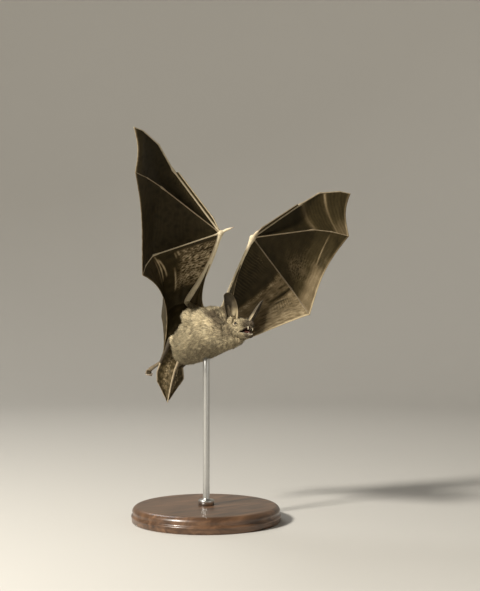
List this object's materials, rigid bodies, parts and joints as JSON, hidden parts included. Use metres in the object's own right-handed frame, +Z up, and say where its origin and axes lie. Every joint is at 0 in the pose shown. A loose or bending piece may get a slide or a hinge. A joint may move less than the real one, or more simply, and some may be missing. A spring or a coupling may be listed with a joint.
{
  "type": "mouse-eared bat",
  "caption": "Life-size mouse-eared bat in flight: wings raised, mouth open, held by one steel rod over a round wooden base.",
  "frame": {"origin": "middle of the stand's underside, on the surface it stands on", "axes": "+Z up, -Y the way the bat heads, +X to the bat's left"},
  "size_m": [0.1964, 0.116, 0.289],
  "materials": {
    "coat": "soft dense fur, pale cream to khaki, darker behind the shoulder",
    "face": "matt skin with very short fur",
    "ear": "thin bare skin, slightly shiny",
    "skin": "thin bare skin stretched over bone",
    "membrane": "thin crinkled membrane, slightly glossy",
    "eye": "wet and glossy",
    "tongue": "wet",
    "stand_wood": "dark wood, satin varnish",
    "stand_steel": "brushed"
  },
  "bodies": {
    "root": {"stand_base": "stand_wood", "stand_rod": "stand_steel", "trunk": "coat", "neck": "coat", "head": "face", "jaw": "face", "tongue": "tongue", "tail": "skin", "eye_left": "eye", "ear_left": "ear", "upper_arm_left": "coat", "forearm_left": "skin", "thumb_left": "skin", "finger_2_left": "skin", "finger_3_left": "skin", "finger_4_left": "skin", "finger_5_left": "skin", "fore_membrane_left": "membrane", "membrane_2_3_left": "membrane", "membrane_3_4_left": "membrane", "membrane_4_5_left": "membrane", "flank_membrane_left": "membrane", "thigh_left": "coat", "shin_left": "skin", "foot_left": "skin", "calcar_left": "skin", "tail_membrane_left": "membrane", "eye_right": "eye", "ear_right": "ear", "upper_arm_right": "coat", "forearm_right": "skin", "thumb_right": "skin", "finger_2_right": "skin", "finger_3_right": "skin", "finger_4_right": "skin", "finger_5_right": "skin", "fore_membrane_right": "membrane", "membrane_2_3_right": "membrane", "membrane_3_4_right": "membrane", "membrane_4_5_right": "membrane", "flank_membrane_right": "membrane", "thigh_right": "coat", "shin_right": "skin", "foot_right": "skin", "calcar_right": "skin", "tail_membrane_right": "membrane"}
  },
  "joints": []
}
